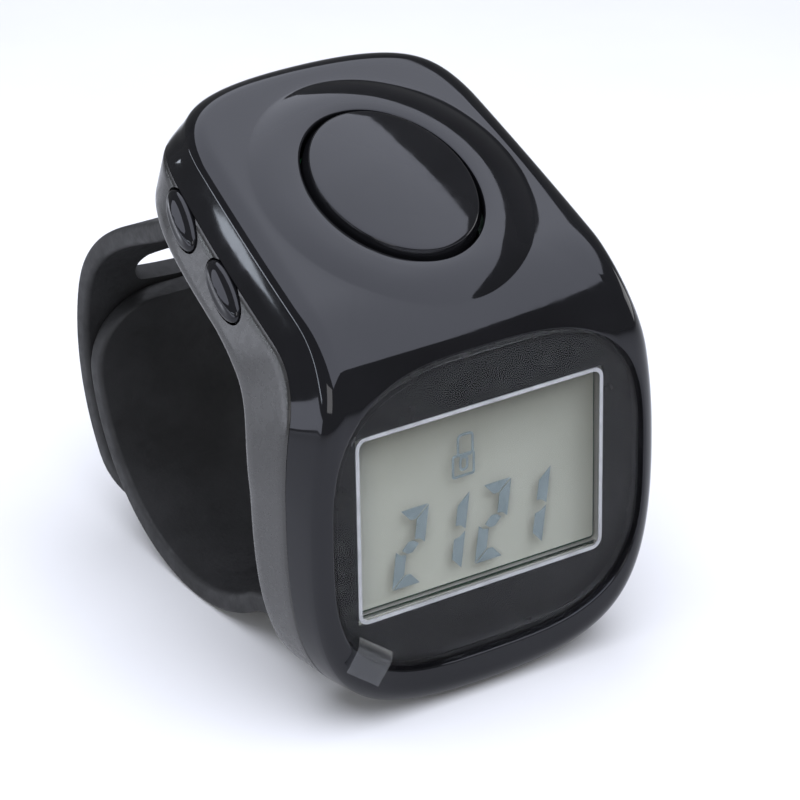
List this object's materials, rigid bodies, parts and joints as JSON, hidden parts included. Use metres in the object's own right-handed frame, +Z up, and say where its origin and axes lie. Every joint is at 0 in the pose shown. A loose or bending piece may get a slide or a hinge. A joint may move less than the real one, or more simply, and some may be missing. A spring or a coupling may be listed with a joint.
{
  "type": "digital tally counter",
  "caption": "Finger-worn digital tally counter: bent glossy case with an oval count button on top, a display in front, two side buttons and a two-part silicone finger ring.",
  "frame": {"origin": "centre of the bounding box at its base, on the surface that the counter stands on", "axes": "+Z up as it stands on its chin and lower strap, display faces -Y, the finger goes through along X, side buttons on the -X side"},
  "size_m": [0.028, 0.0362, 0.0343],
  "materials": {
    "case_gloss": "polished black",
    "case_satin": "satin black",
    "button_gloss": "polished black",
    "lens_clear": "clear",
    "print_black": "black ink",
    "print_silver": "silver ink",
    "tape": "black adhesive foil",
    "film_clear": "clear film",
    "lcd_film": "silvery grey",
    "lcd_glass": "clear",
    "holder_white": "moulded",
    "zebra_rubber": "matte",
    "board_green": "solder mask",
    "chip_resin": "resin",
    "steel": "plain",
    "contact_brass": "plain",
    "flex_amber": "film",
    "strap_silicone": "satin silicone"
  },
  "bodies": {
    "case": {"upper_case": "case_gloss", "lower_case": "case_satin", "display_lens": "lens_clear", "lens_print": "print_black", "window_border": "print_silver", "lens_tape": "tape", "protective_film": "film_clear", "lcd_front_polariser": "lcd_film", "lcd_front_glass": "lcd_glass", "lcd_rear_glass": "lcd_glass", "lcd_reflector": "lcd_film", "lcd_holder": "holder_white", "zebra_strip": "zebra_rubber", "display_board": "board_green", "counter_chip": "chip_resin", "clock_crystal": "steel", "chip_capacitor": "contact_brass", "switch_board": "board_green", "count_dome": "steel", "side_switch_rear": "steel", "side_switch_front": "steel", "board_flex": "flex_amber", "button_cell": "steel", "contact_plus": "contact_brass", "contact_minus": "contact_brass", "battery_cover": "case_satin", "battery_cover_screw": "steel", "case_screw_rear_left": "steel", "case_screw_rear_right": "steel", "case_screw_chin_left": "steel", "case_screw_chin_right": "steel"},
    "count_key": {"count_button": "button_gloss"},
    "rear_key": {"side_button_rear": "button_gloss"},
    "front_key": {"side_button_front": "button_gloss"},
    "upper_band": {"upper_strap": "strap_silicone"},
    "lower_band": {"lower_strap": "strap_silicone"}
  },
  "joints": [
    {"name": "count_press", "type": "slide", "parent": "case", "child": "count_key", "axis": [0, 0.3984, -0.9172], "range_m": [0, 0.0005], "stiffness_N_per_m": 500},
    {"name": "rear_press", "type": "slide", "parent": "case", "child": "rear_key", "axis": [0.9264, 0.0837, -0.3671], "range_m": [0, 0.00035], "stiffness_N_per_m": 400},
    {"name": "front_press", "type": "slide", "parent": "case", "child": "front_key", "axis": [0.9144, 0.1108, -0.3895], "range_m": [0, 0.00035], "stiffness_N_per_m": 400},
    {"name": "upper_strap_swing", "type": "hinge", "parent": "case", "child": "upper_band", "pos_m": [0, 0.00325, 0.02954], "axis": [1, 0, 0], "range_deg": [0, 30], "stiffness_Nm_per_rad": 0.01},
    {"name": "lower_strap_swing", "type": "hinge", "parent": "case", "child": "lower_band", "pos_m": [0, -0.013, 0.00363], "axis": [-1, 0, 0], "range_deg": [0, 6], "stiffness_Nm_per_rad": 0.01}
  ],
  "couplings": [
    {"joint": "lower_strap_swing", "follows": "upper_strap_swing", "ratio": 0.2}
  ]
}
